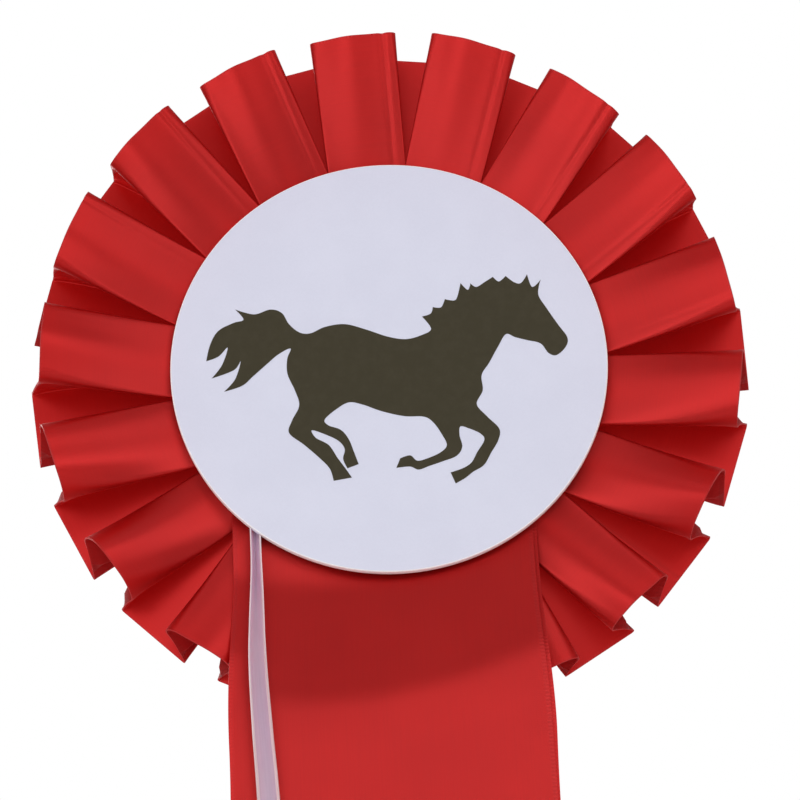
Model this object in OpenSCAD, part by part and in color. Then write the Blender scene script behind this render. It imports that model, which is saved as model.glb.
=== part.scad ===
// Award rosette: a box-pleated satin ruffle round a printed card, with two broad tails,
// one narrow ribbon and a brooch pin behind.
// The origin is on the axis of the pin's shank, halfway along the pin bar.
// +X is the viewer's right, +Z is up and the printed face looks along -Y.

/* [Centre card] */
// Diameter of the printed card
card_d = 75; // [70:1:80]
// Thickness of the printed card
card_t = 1.2; // [0.8:0.1:2]
// Height of the card's back over the base card
card_lift = 5.2; // [5.2:0.1:6.4]

/* [Pleated ribbon] */
// Width of the ribbon that is pleated
ruffle_w = 38; // [34:1:40]
// Radius of the pleated ribbon's inner edge
ruffle_inner_r = 23.5; // [22.8:0.1:24]
// Width of each raised front panel
panel_w = 14.4; // [12:0.2:15]
// Height of a front panel's outer edge over the base card
panel_h = 13.6; // [10:0.2:15]
// Height of the front panels just beside the tails
beside_h = 9; // [7:0.5:9]
// Height of the front panels that the tails press down
pressed_h = 7; // [5:0.5:7]
// Pleats that show beside and above the tails
open_pleats = 13; // [11:1:14]
// Pleats that sit closer together behind the tails
crowded_pleats = 5; // [4:1:6]
// Angle that the pleats behind the tails share
crowded_span = 94.8; // [88:0.2:100]

/* [Tails] */
// Width of each broad tail
tail_w = 53.8; // [46:0.2:54]
// Distance of the tails' ends below the middle of the card
tail_drop = 235; // [200:5:260]
// Height difference between the two edges of a slanted tail end
tail_slant = 14; // [0:1:20]
// Distance that the front tail sits to the right of the middle
front_tail_shift = -2.3; // [-2.5:0.1:0]
// Distance that the rear tail sits to the right of the middle
rear_tail_shift = -1.6; // [-2:0.1:0]
// Width of the narrow ribbon
narrow_w = 4; // [3:0.5:5]

/* [Brooch pin] */
// Distance of the pin above the middle of the card
pin_rise = 13; // [10:1:16]
// Length of the pin bar
bar_l = 35; // [34:1:38]
// Width of the pin bar
bar_w = 5; // [4.5:0.5:6]
// Radius of the pin's shank
shank_r = 0.4; // [0.35:0.05:0.45]
// Distance from the pin bar's back to the shank's axis
shank_gap = 2.4; // [2.4:0.1:3]

/* [Hidden] */

// colours
satin_red = [0.68, 0.10, 0.10];
satin_deep_red = [0.55, 0.07, 0.08];
satin_lilac = [0.80, 0.77, 0.88];
paper_white = [0.87, 0.87, 0.93];
ink_dark = [0.20, 0.18, 0.12];
card_grey = [0.72, 0.70, 0.66];
steel = [0.75, 0.76, 0.78];

// the stack behind the ruffle, from the base card's front face backwards
base_card_r = 32;
base_card_t = 1.2;
back_card_r = 29;
back_card_t = 0.8;
pad_t = 0.8;
bar_t = 0.6;
stack = base_card_t + back_card_t + pad_t + bar_t + shank_gap;

// ruffle
satin_t = 0.3;
ruffle_low = satin_t / 2;
ruffle_inner_h = 1.45;
flat_share = 0.36;
first_gap = -39;
pleat_total = open_pleats + crowded_pleats;
open_pitch = (360 - crowded_span) / open_pleats;
crowded_pitch = crowded_span / crowded_pleats;
foot_share = 0.5;
fold_roll = 0.8;
ruffle_stations = [0, flat_share, 0.68, 1];

// tails, as points of height over the base card and distance up the card
rear_tail_path = [
    [2.3, -10], [2.6, -20], [4.2, -37.5], [9.8, -54], [10.2, -61.5], [10.2, -tail_drop]
];
tail_spacing = 0.55;
front_hinge_z = -39.5;
rear_hinge_z = -62.5;
hinge_gap = 0.2;
turning_edge_r = 0.2;

// the narrow ribbon's route: right, height over the base card, up
narrow_route = [
    [-24.1, 3.5, -13], [-24.1, 3.9, -22], [-24.1, 4.6, -30], [-24.1, 6.3, -39.5],
    [-24.2, 9.1, -48], [-24.3, 11.2, -54.5], [-24.1, 11.5, -66], [-23.5, 11.5, -80],
    [-22.8, 11.5, -96], [-22.2, 11.5, -114], [-21.8, 11.5, -132], [-21.7, 11.5, -150],
    [-21.8, 11.5, -168], [-22, 11.5, -186], [-22.4, 11.5, -204], [-22.8, 11.5, -222]
];
narrow_t = 0.4;
narrow_hinge_point = 3;

// staples
wire_t = 0.5;
clinch_l = 2.2;
clinch_t = 0.4;
ruffle_staple_w = 7;
ruffle_staple_r = 26.5;
ruffle_staple_h = 1.65;
tail_staple_y = -14;
// middle, width and height of each tail staple; the first one straddles the narrow ribbon
tail_staple_places = [[-24.1, 5.2, 3.75], [-9, 9, 3.15], [10, 9, 3.15]];

// foam pad
pad_r = 19.5;
pad_step_y = -9.5;
pad_step_h = 3.9;

// brooch pin
hinge_x = -14;
knuckle_r = 1.3;
knuckle_h = 1.8;
rivet_r = 0.5;
ear_r = 1.2;
ear_t = 0.6;
ear_z = 1;
taper_x = 10.6;
tip_x = 15.2;
tip_r = 0.08;
housing_x = 11.4;
housing_l = 3;
housing_r = 1.85;
housing_bore_r = 1.45;
roller_x = 11.2;
roller_l = 4.4;
roller_r = 1.35;
roller_bore_r = 0.75;
tab_l = 1;
tab_reach = 2.9;
$fn = 64;

// Puts a piece drawn in the card's own frame (x right, y up, z towards the viewer) in place.
module on_card() {
    translate([0, -stack, -pin_rise]) rotate([90, 0, 0]) children();
}

// ---------------------------------------------------------------- centre card and pad

module centre_card() {
    color(paper_white) on_card()
        translate([0, 0, card_lift]) cylinder(h = card_t, r = card_d / 2, $fn = 128);
}

// A tapering limb or neck: the outline round a chain of circles [x, y, r].
module limb(chain) {
    for (i = [0 : len(chain) - 2]) hull() {
        for (c = [chain[i], chain[i + 1]])
            translate([c[0], c[1]]) circle(r = c[2], $fn = 20);
    }
}

// The running horse, drawn about the middle of the card in millimetres.
module horse_shape() {
    // trunk: rump, belly and chest
    limb([[-12.5, 1.2, 5.2], [-7, 0.6, 4.6], [0, -0.2, 4.5], [7, 0.4, 5], [11.5, 1, 4.6]]);
    // neck and head
    limb([[11.5, 2.5, 4.2], [16, 6.5, 3.2], [20.5, 10, 2.2], [23, 11.2, 1.9], [28.5, 6.6, 1.1]]);
    // ears
    limb([[22.2, 12.6, 0.7], [23, 15.2, 0.25]]);
    // mane
    limb([[19.5, 11.6, 1.5], [12.5, 9, 1.3], [7, 6, 0.8]]);
    // tail
    limb([[-16.5, 3.2, 1], [-20, 6.4, 2.1], [-25, 5.6, 2.1], [-29.5, 1.6, 0.7]]);
    // far hind leg, near hind leg
    limb([[-13, -3, 3], [-15.2, -9, 1.6], [-11, -12, 1.1], [-8.6, -16.6, 0.9]]);
    limb([[-10.5, -4, 2.6], [-10.4, -9.5, 1.4], [-6.6, -12.4, 0.9], [-6, -15.6, 0.9]]);
    // near fore leg, far fore leg
    limb([[11.5, -3, 2.4], [16, -8.8, 1.3], [14, -12.8, 0.8], [11, -16, 0.9]]);
    limb([[9, -4, 2.2], [11.6, -9.6, 1.1], [7, -13.2, 0.8], [2.8, -14.6, 0.9]]);
}

module horse_print() {
    ink_t = 0.08;
    color(ink_dark) on_card()
        translate([0, 0, card_lift + card_t]) linear_extrude(height = ink_t) horse_shape();
}

// The pad is cut away underneath where the tails' tops and their staples lie.
module foam_pad() {
    color(card_grey) on_card() difference() {
        cylinder(h = card_lift, r = pad_r);
        translate([-pad_r - 1, -pad_r - 1, -1])
            cube([2 * pad_r + 2, pad_r + 1 + pad_step_y, pad_step_h + 1]);
    }
}

// ---------------------------------------------------------------- pleated ribbon

// Angle of the gap before pleat k, counted anticlockwise from the right of the tails.
function gap_angle(k) = k <= open_pleats
    ? first_gap + k * open_pitch
    : first_gap + open_pleats * open_pitch + (k - open_pleats) * crowded_pitch;

// Is pleat k the first or the last of those that crowd behind the tails?
function beside_tails(k) = k == open_pleats || k == pleat_total - 1;

function outer_h(k) = k < open_pleats ? panel_h : beside_tails(k) ? beside_h : pressed_h;

// Height of pleat k's front panel, s of the way from its inner to its outer edge.
// The card holds the inner part flat, and the rest curves forwards.
function front_h(k, s) =
    let (
        rise = max(0, s - flat_share) / (1 - flat_share),
        curve = beside_tails(k) ? 2 : 1.3
    )
    ruffle_inner_h + (outer_h(k) - ruffle_inner_h) * pow(rise, curve);

// Radius reached by a length of ribbon that has climbed to a height.
function climb_r(length, h) = ruffle_inner_r + sqrt(max(0, length * length - h * h));

// One side of a pleat's cross-section, s of the way out: [along the arc, height].
function half_pleat(half_arc, p, h, roll) = [
    [half_arc, ruffle_low],
    [p * foot_share + roll / 2, ruffle_low],
    [p * foot_share, ruffle_low + roll],
    [p, h - roll],
    [p - roll, h]
];

// A pleat's whole cross-section from one gap to just before the next.
function pleat_section(k, s) =
    let (
        h = front_h(k, s),
        r = ruffle_inner_r + ruffle_w * s,
        half_arc = (gap_angle(k + 1) - gap_angle(k)) / 2 * r * PI / 180,
        p = min(panel_w / 2, half_arc * 0.94),
        roll = min(fold_roll, (h - ruffle_low) * 0.3),
        side = half_pleat(half_arc, p, h, roll)
    )
    concat(
        [for (i = [0 : 4]) [-side[i][0], side[i][1]]],
        [for (i = [4 : -1 : 1]) side[i]]
    );

// The whole ring at station s as [angle, radius, height].
function ring_line(s) = [
    for (k = [0 : pleat_total - 1])
        let (middle = (gap_angle(k) + gap_angle(k + 1)) / 2)
        for (q = pleat_section(k, s))
            let (
                rise = q[1] - ruffle_low,
                r = climb_r(ruffle_w * s, min(rise, ruffle_w * s)),
                arc_r = ruffle_inner_r + ruffle_w * s
            )
            [middle + q[0] / arc_r * 180 / PI, r, q[1]]
];

// Unit normal of the cross-section at point i, in [along the arc, height].
function line_normal(line, i) =
    let (
        n = len(line),
        a = line[(i + n - 1) % n],
        b = line[i],
        c = line[(i + 1) % n],
        before = flat_step(a, b),
        after = flat_step(b, c),
        u = before / norm(before) + after / norm(after)
    )
    [-u[1], u[0]] / norm(u);

// Step from a to b along the arc and in height, in millimetres.
function flat_step(a, b) =
    let (turn = b[0] - a[0] < -180 ? b[0] - a[0] + 360 : b[0] - a[0])
    [turn * PI / 180 * (a[1] + b[1]) / 2, b[2] - a[2]];

// One face of the ribbon at station s: side is 1 for its front and -1 for its back.
function ring_face(s, side) =
    let (line = ring_line(s))
    [
        for (i = [0 : len(line) - 1])
            let (
                m = line_normal(line, i) * side * satin_t / 2,
                q = line[i],
                a = q[0] + m[0] / q[1] * 180 / PI
            )
            [q[1] * cos(a), q[1] * sin(a), q[2] + m[1]]
    ];

module pleated_ribbon() {
    rings = concat(
        [for (s = ruffle_stations) ring_face(s, 1)],
        [for (i = [len(ruffle_stations) - 1 : -1 : 0]) ring_face(ruffle_stations[i], -1)]
    );
    n = len(rings[0]);
    loops = len(rings);
    color(satin_red) on_card() polyhedron(
        points = [for (ring = rings) each ring],
        faces = [
            for (j = [0 : loops - 1])
                for (i = [0 : n - 1])
                    let (
                        a = j * n + i,
                        b = j * n + (i + 1) % n,
                        c = ((j + 1) % loops) * n + (i + 1) % n,
                        d = ((j + 1) % loops) * n + i
                    )
                    each [[a, b, c], [a, c, d]]
        ]
    );
}

// Two short stitches across the inner end of each front panel.
module pleat_stitching() {
    stitch_r = 0.22;
    stitch_l = 3;
    from_edge = 1.4;
    color(satin_deep_red) on_card()
        for (k = [0 : pleat_total - 1])
            for (side = [-1, 1])
                rotate([0, 0, (gap_angle(k) + gap_angle(k + 1)) / 2 + side * 4.6])
                    translate([ruffle_inner_r + from_edge, stitch_l / 2,
                               front_h(k, from_edge / ruffle_w) + satin_t / 2 + 0.1])
                        rotate([90, 0, 0]) cylinder(h = stitch_l, r = stitch_r, $fn = 16);
}

// ---------------------------------------------------------------- cards and staples

// A staple driven from height h through to the base card's back, with its ends folded inwards.
module staple(w, h) {
    back = -base_card_t;
    translate([-w / 2, -wire_t / 2, h]) cube([w, wire_t, wire_t]);
    for (side = [-1, 1]) {
        translate([side * (w - wire_t) / 2 - wire_t / 2, -wire_t / 2, back])
            cube([wire_t, wire_t, h - back + wire_t]);
        translate([side * (w / 2 - clinch_l / 2) - clinch_l / 2, -wire_t / 2, back])
            cube([clinch_l, wire_t, clinch_t]);
    }
}

module ruffle_staple_set() {
    for (a = [45 : 90 : 315])
        rotate([0, 0, a]) translate([ruffle_staple_r, 0, 0]) rotate([0, 0, 90])
            staple(ruffle_staple_w, ruffle_staple_h);
}

module tail_staple_set() {
    for (place = tail_staple_places)
        translate([place[0], tail_staple_y, 0]) staple(place[1], place[2]);
}

module ruffle_staples() {
    color(steel) on_card() ruffle_staple_set();
}

module tail_staples() {
    color(steel) on_card() tail_staple_set();
}

module base_card() {
    color(card_grey) on_card() difference() {
        translate([0, 0, -base_card_t]) cylinder(h = base_card_t, r = base_card_r);
        ruffle_staple_set();
        tail_staple_set();
    }
}

module back_card() {
    color(paper_white) on_card()
        translate([0, 0, -base_card_t - back_card_t]) cylinder(h = back_card_t, r = back_card_r);
}

// ---------------------------------------------------------------- tails and narrow ribbon

// A satin strip that follows a path of [height, up] points, left wider than a tail.
module strip(path) {
    front = [for (q = path) [q[1], q[0] + satin_t / 2]];
    back = [for (i = [len(path) - 1 : -1 : 0]) [path[i][1], path[i][0] - satin_t / 2]];
    translate([-tail_w, 0, 0]) rotate([90, 0, 90])
        linear_extrude(height = 2 * tail_w) polygon(concat(front, back));
}

// The part of a strip inside an outline of [right, up] points.
module cut_strip(path, outline) {
    intersection() {
        strip(path);
        linear_extrude(height = 30) polygon(outline);
    }
}

// A tail's outline from the hinge line down, with its end cut on the slant.
function tail_outline(shift, hinge_z, slant) = [
    [shift - tail_w / 2, hinge_z],
    [shift + tail_w / 2, hinge_z],
    [shift + tail_w / 2, slant - tail_drop + max(0, -slant)],
    [shift - tail_w / 2, max(0, -slant) - tail_drop]
];

// A tail's outline from its top, behind the centre card, to the hinge line.
function anchor_outline(shift, hinge_z) = [
    [shift - tail_w / 2, hinge_z + turning_edge_r + hinge_gap],
    [shift + tail_w / 2, hinge_z + turning_edge_r + hinge_gap],
    [shift + tail_w / 2, rear_tail_path[0][1]],
    [shift - tail_w / 2, rear_tail_path[0][1]]
];

front_tail_path = [for (q = rear_tail_path) [q[0] + tail_spacing, q[1]]];

// Height of a path of [height, up] points at a distance up.
function path_h(path, up) = lookup(up, [for (i = [len(path) - 1 : -1 : 0]) [path[i][1], path[i][0]]]);

// A swinging tail: its strip, and the round edge that turns on the hinge line.
module swinging_tail(path, shift, hinge_z, slant) {
    cut_strip(path, tail_outline(shift, hinge_z, slant));
    translate([shift - tail_w / 2, hinge_z, path_h(path, hinge_z)])
        rotate([0, 90, 0]) cylinder(h = tail_w, r = turning_edge_r);
}

module front_tail_anchor() {
    color(satin_red) on_card() difference() {
        cut_strip(front_tail_path, anchor_outline(front_tail_shift, front_hinge_z));
        tail_staple_set();
    }
}

module front_tail() {
    color(satin_red) on_card()
        swinging_tail(front_tail_path, front_tail_shift, front_hinge_z, tail_slant);
}

module rear_tail_anchor() {
    color(satin_deep_red) on_card() difference() {
        cut_strip(rear_tail_path, anchor_outline(rear_tail_shift, rear_hinge_z));
        tail_staple_set();
    }
}

module rear_tail() {
    color(satin_deep_red) on_card()
        swinging_tail(rear_tail_path, rear_tail_shift, rear_hinge_z, -tail_slant);
}

// A flat eight-sided ring round a route point given as [right, height, up].
function narrow_ring(q) = [
    for (i = [0 : 7])
        let (a = 22.5 + 45 * i)
        [q[0] + narrow_w / 2 * cos(a) / cos(22.5), q[2], q[1] + narrow_t / 2 * sin(a) / cos(22.5)]
];

// The narrow ribbon swept along a route of [right, height, up] points.
module narrow_sweep(route) {
    last = 8 * (len(route) - 1);
    polyhedron(
        points = [for (q = route) each narrow_ring(q)],
        faces = concat(
            [[for (i = [0 : 7]) i]],
            [[for (i = [7 : -1 : 0]) last + i]],
            [
                for (j = [0 : len(route) - 2])
                    for (i = [0 : 7])
                        let (a = 8 * j + i, b = 8 * j + (i + 1) % 8)
                        each [[a, a + 8, b + 8], [a, b + 8, b]]
            ]
        )
    );
}

module narrow_ribbon_anchor() {
    clear_of_edge = [0, 0, turning_edge_r + hinge_gap];
    color(satin_lilac) on_card() narrow_sweep(concat(
        [for (i = [0 : narrow_hinge_point - 1]) narrow_route[i]],
        [narrow_route[narrow_hinge_point] + clear_of_edge]
    ));
}

// The swinging part of the narrow ribbon, with the round edge that turns on the hinge line.
module narrow_ribbon() {
    hinge = narrow_route[narrow_hinge_point];
    color(satin_lilac) on_card() {
        narrow_sweep([for (i = [narrow_hinge_point : len(narrow_route) - 1]) narrow_route[i]]);
        translate([hinge[0] - narrow_w / 2, hinge[2], hinge[1]])
            rotate([0, 90, 0]) cylinder(h = narrow_w, r = turning_edge_r);
    }
}

// ---------------------------------------------------------------- brooch pin

// A flat plate with round ends, from y0 forwards or backwards by a thickness.
module round_bar(length, width, y0, thickness) {
    translate([-(length - width) / 2, y0, -width / 2]) cube([length - width, thickness, width]);
    for (side = [-1, 1])
        translate([side * (length - width) / 2, y0, 0])
            rotate([-90, 0, 0]) cylinder(h = thickness, r = width / 2);
}

module pin_adhesive_pad() {
    color(paper_white) round_bar(bar_l - 3, bar_w - 0.6, -shank_gap - bar_t - pad_t, pad_t);
}

// One of the two ears that hold the hinge rivet.
module hinge_ear() {
    linear_extrude(height = ear_t) difference() {
        union() {
            circle(r = ear_r);
            translate([-ear_r, -shank_gap - bar_t / 2]) square([2 * ear_r, shank_gap + bar_t / 2]);
        }
        circle(r = rivet_r);
    }
}

// The open sleeve that the roller turns in, with its foot on the bar.
module catch_housing() {
    mouth = 1.5;
    foot_w = 2.4;
    difference() {
        union() {
            rotate([0, 90, 0]) cylinder(h = housing_l, r = housing_r);
            translate([0, -shank_gap - bar_t / 2, -foot_w / 2])
                cube([housing_l, shank_gap + bar_t / 2, foot_w]);
        }
        translate([-1, 0, 0]) rotate([0, 90, 0]) cylinder(h = housing_l + 2, r = housing_bore_r);
        translate([-1, 0, -mouth / 2]) cube([housing_l + 2, housing_r + 1, mouth]);
    }
}

module pin_base() {
    color(steel) union() {
        round_bar(bar_l, bar_w, -shank_gap - bar_t, bar_t);
        translate([hinge_x, 0, ear_z]) hinge_ear();
        translate([hinge_x, 0, -ear_z - ear_t]) hinge_ear();
        translate([housing_x, 0, 0]) catch_housing();
    }
}

module pin_hinge_rivet() {
    head_r = 0.95;
    head_t = 0.4;
    span = ear_z + ear_t;
    color(steel) translate([hinge_x, 0, 0]) {
        translate([0, 0, -span]) cylinder(h = 2 * span, r = rivet_r);
        for (z0 = [-span - head_t, span]) translate([0, 0, z0]) cylinder(h = head_t, r = head_r);
    }
}

module pin_wire() {
    bore_clearance = 0.06;
    color(steel) difference() {
        union() {
            translate([hinge_x, 0, -knuckle_h / 2]) cylinder(h = knuckle_h, r = knuckle_r);
            translate([hinge_x, 0, 0]) rotate([0, 90, 0]) cylinder(h = taper_x - hinge_x, r = shank_r);
            translate([taper_x, 0, 0]) rotate([0, 90, 0])
                cylinder(h = tip_x - taper_x, r1 = shank_r, r2 = tip_r);
        }
        translate([hinge_x, 0, -knuckle_h]) cylinder(h = 2 * knuckle_h, r = rivet_r + bore_clearance);
    }
}

// The roller stands open at rest; a quarter turn on its tab closes it over the wire.
module catch_roller() {
    mouth = 1.2;
    tab_t = 0.6;
    color(steel) translate([roller_x, 0, 0]) difference() {
        union() {
            rotate([0, 90, 0]) cylinder(h = roller_l, r = roller_r);
            translate([roller_l - tab_l, -tab_t / 2, -tab_reach]) cube([tab_l, tab_t, tab_reach]);
        }
        translate([-1, 0, 0]) rotate([0, 90, 0]) cylinder(h = roller_l + 2, r = roller_bore_r);
        translate([-1, 0, -mouth / 2]) cube([roller_l + 2, roller_r + 1, mouth]);
    }
}

centre_card();
horse_print();
foam_pad();
pleated_ribbon();
pleat_stitching();
ruffle_staples();
tail_staples();
base_card();
back_card();
front_tail_anchor();
front_tail();
rear_tail_anchor();
rear_tail();
narrow_ribbon_anchor();
narrow_ribbon();
pin_adhesive_pad();
pin_base();
pin_hinge_rivet();
pin_wire();
catch_roller();
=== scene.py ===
import math
import random

import bmesh
import bpy
import numpy as np
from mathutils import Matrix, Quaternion, Vector, noise
from mathutils.geometry import tessellate_polygon


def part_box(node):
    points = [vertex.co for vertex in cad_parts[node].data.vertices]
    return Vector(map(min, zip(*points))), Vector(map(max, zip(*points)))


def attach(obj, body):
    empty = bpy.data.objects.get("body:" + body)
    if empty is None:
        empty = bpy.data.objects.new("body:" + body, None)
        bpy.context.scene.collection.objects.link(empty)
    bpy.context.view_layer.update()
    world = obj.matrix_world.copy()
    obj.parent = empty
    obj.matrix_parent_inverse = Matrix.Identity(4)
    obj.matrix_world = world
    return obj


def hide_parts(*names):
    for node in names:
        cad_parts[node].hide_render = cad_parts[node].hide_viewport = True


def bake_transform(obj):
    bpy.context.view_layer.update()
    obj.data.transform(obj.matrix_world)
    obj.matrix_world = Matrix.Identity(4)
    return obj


# An award rosette: a box-pleated satin ruffle round a printed card, two broad tails and one
# narrow ribbon. Lengths are in metres. The object's printed face looks along -Y.

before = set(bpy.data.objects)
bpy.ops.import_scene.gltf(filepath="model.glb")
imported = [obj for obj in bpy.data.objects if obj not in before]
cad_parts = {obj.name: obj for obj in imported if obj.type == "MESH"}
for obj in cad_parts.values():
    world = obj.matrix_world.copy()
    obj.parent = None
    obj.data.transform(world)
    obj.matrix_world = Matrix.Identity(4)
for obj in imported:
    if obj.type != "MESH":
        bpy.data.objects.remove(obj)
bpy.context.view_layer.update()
MM = 0.001

# the card's own frame: its middle, and the front face of the base card behind the ruffle
card_low, card_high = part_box("centre_card")
base_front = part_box("base_card")[0].y
card_radius = (card_high.x - card_low.x) / 2
card_back = base_front - card_high.y
card_front = base_front - card_low.y
card_z = (card_low.z + card_high.z) / 2


def on_card(right, height, up):
    """A point from its place beside the card's middle and its height over the base card."""
    return Vector((right, base_front - height, card_z + up))


# ---------------------------------------------------------------- camera, lights and floor


camera_elevation = math.radians(-21.1)
camera_roll = math.radians(2.5)
camera_distance = 0.856
# where the camera aims, to the right of the card's middle and below it, as the camera sees it
aim_right, aim_down = 1.8 * MM, 3.7 * MM
focal_length = 223.3
floor_level = -0.45
floor_size = 3.0


def add_camera():
    """A long lens from below, as the photograph is taken, turned a little about its axis."""
    look = Vector((0, math.cos(camera_elevation), -math.sin(camera_elevation)))
    turn = look.to_track_quat("-Z", "Y") @ Quaternion((0, 0, 1), -camera_roll)
    right = turn @ Vector((1, 0, 0))
    up = turn @ Vector((0, 1, 0))
    aim = on_card(0, 0, 0) + right * aim_right - up * aim_down
    data = bpy.data.cameras.new("camera")
    data.sensor_width = 36
    data.lens = focal_length
    data.clip_start = 0.05
    data.clip_end = 20
    camera = bpy.data.objects.new("camera", data)
    camera.location = aim - look * camera_distance
    camera.rotation_mode = "QUATERNION"
    camera.rotation_quaternion = turn
    bpy.context.scene.collection.objects.link(camera)
    bpy.context.scene.camera = camera


def add_light(name, place, size, power):
    """A square soft light that faces the lower part of the card."""
    data = bpy.data.lights.new(name, "AREA")
    data.size = size
    data.energy = power
    light = bpy.data.objects.new(name, data)
    light.location = place
    light.rotation_mode = "QUATERNION"
    light.rotation_quaternion = (on_card(0, 0, -0.03) - Vector(place)).to_track_quat("-Z", "Y")
    bpy.context.scene.collection.objects.link(light)


def add_lights():
    """Soft lights from both sides, from the front and from behind, all over the floor's level."""
    add_light("left_light", (-0.95, -1.0, 0.3), 0.9, 2.8)
    add_light("right_light", (0.62, -1.1, 0.42), 0.8, 3.5)
    add_light("front_light", (-0.27, -1.15, -0.14), 0.5, 2.8)
    add_light("back_light", (-0.6, 1.4, 0.5), 0.8, 4)


def add_world():
    """White paper all round: bright where the camera sees it, softer as a light."""
    world = bpy.data.worlds.new("world")
    world.use_nodes = True
    nodes, links = world.node_tree.nodes, world.node_tree.links
    nodes.clear()
    output = nodes.new("ShaderNodeOutputWorld")
    mix = nodes.new("ShaderNodeMixShader")
    path = nodes.new("ShaderNodeLightPath")
    lighting = nodes.new("ShaderNodeBackground")
    lighting.inputs["Color"].default_value = (1, 0.99, 0.98, 1)
    lighting.inputs["Strength"].default_value = 0.5
    seen = nodes.new("ShaderNodeBackground")
    seen.inputs["Color"].default_value = (1, 1, 1, 1)
    links.new(path.outputs["Is Camera Ray"], mix.inputs["Fac"])
    links.new(lighting.outputs["Background"], mix.inputs[1])
    links.new(seen.outputs["Background"], mix.inputs[2])
    links.new(mix.outputs["Shader"], output.inputs["Surface"])
    bpy.context.scene.world = world
    bpy.context.scene.view_settings.view_transform = "Standard"


def add_floor():
    """A pale sheet, well below the tails."""
    bpy.ops.mesh.primitive_grid_add(x_subdivisions=8, y_subdivisions=8, size=floor_size,
                                    location=(0, 0, floor_level))
    floor = bpy.context.object
    floor.name = "floor"
    floor.data.materials.append(floor_paper("floor_paper"))


# ---------------------------------------------------------------- node helpers


def new_material(name):
    """A material with one Principled shader: returns the material, its node tree and the shader."""
    material = bpy.data.materials.new(name)
    material.use_nodes = True
    tree = material.node_tree
    tree.nodes.clear()
    output = tree.nodes.new("ShaderNodeOutputMaterial")
    shader = tree.nodes.new("ShaderNodeBsdfPrincipled")
    tree.links.new(shader.outputs["BSDF"], output.inputs["Surface"])
    return material, tree, shader


def math_node(tree, operation, *values):
    """A math node's output; each value is a number or another node's output."""
    node = tree.nodes.new("ShaderNodeMath")
    node.operation = operation
    for socket, value in zip(node.inputs, values):
        if isinstance(value, (int, float)):
            socket.default_value = value
        else:
            tree.links.new(value, socket)
    return node.outputs[0]


def noise_node(tree, vector, scale, detail=2.0, roughness=0.5):
    node = tree.nodes.new("ShaderNodeTexNoise")
    node.inputs["Scale"].default_value = scale
    node.inputs["Detail"].default_value = detail
    node.inputs["Roughness"].default_value = roughness
    tree.links.new(vector, node.inputs["Vector"])
    return node.outputs["Fac"]


def ramp(tree, fac, low, high):
    """0 where fac is below low, 1 where it is above high, and a soft rise between."""
    node = tree.nodes.new("ShaderNodeMapRange")
    node.interpolation_type = "SMOOTHSTEP"
    tree.links.new(fac, node.inputs["Value"])
    node.inputs["From Min"].default_value = low
    node.inputs["From Max"].default_value = high
    return node.outputs["Result"]


def blend_colours(tree, fac, a, b):
    """A colour between a and b; each is a colour or another node's output."""
    node = tree.nodes.new("ShaderNodeMix")
    node.data_type = "RGBA"
    tree.links.new(fac, node.inputs[0])
    for socket, value in ((node.inputs[6], a), (node.inputs[7], b)):
        if isinstance(value, tuple):
            socket.default_value = (*value, 1)
        else:
            tree.links.new(value, socket)
    return node.outputs[2]


def spread(tree, fac, low, high):
    """fac, which runs from 0 to 1, spread evenly from low to high."""
    node = tree.nodes.new("ShaderNodeMapRange")
    tree.links.new(fac, node.inputs["Value"])
    node.inputs["To Min"].default_value = low
    node.inputs["To Max"].default_value = high
    return node.outputs["Result"]


def stretched(tree, vector, scale):
    """vector, scaled separately along each axis."""
    node = tree.nodes.new("ShaderNodeMapping")
    node.inputs["Scale"].default_value = scale
    tree.links.new(vector, node.inputs["Vector"])
    return node.outputs["Vector"]


def add_bump(tree, shader, height, strength, distance):
    node = tree.nodes.new("ShaderNodeBump")
    node.inputs["Strength"].default_value = strength
    node.inputs["Distance"].default_value = distance
    tree.links.new(height, node.inputs["Height"])
    tree.links.new(node.outputs["Normal"], shader.inputs["Normal"])


def object_vector(tree):
    return tree.nodes.new("ShaderNodeTexCoord").outputs["Object"]


# ---------------------------------------------------------------- materials


weft_loop = 0.65 * MM
rib_pitch = 0.32 * MM


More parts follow.
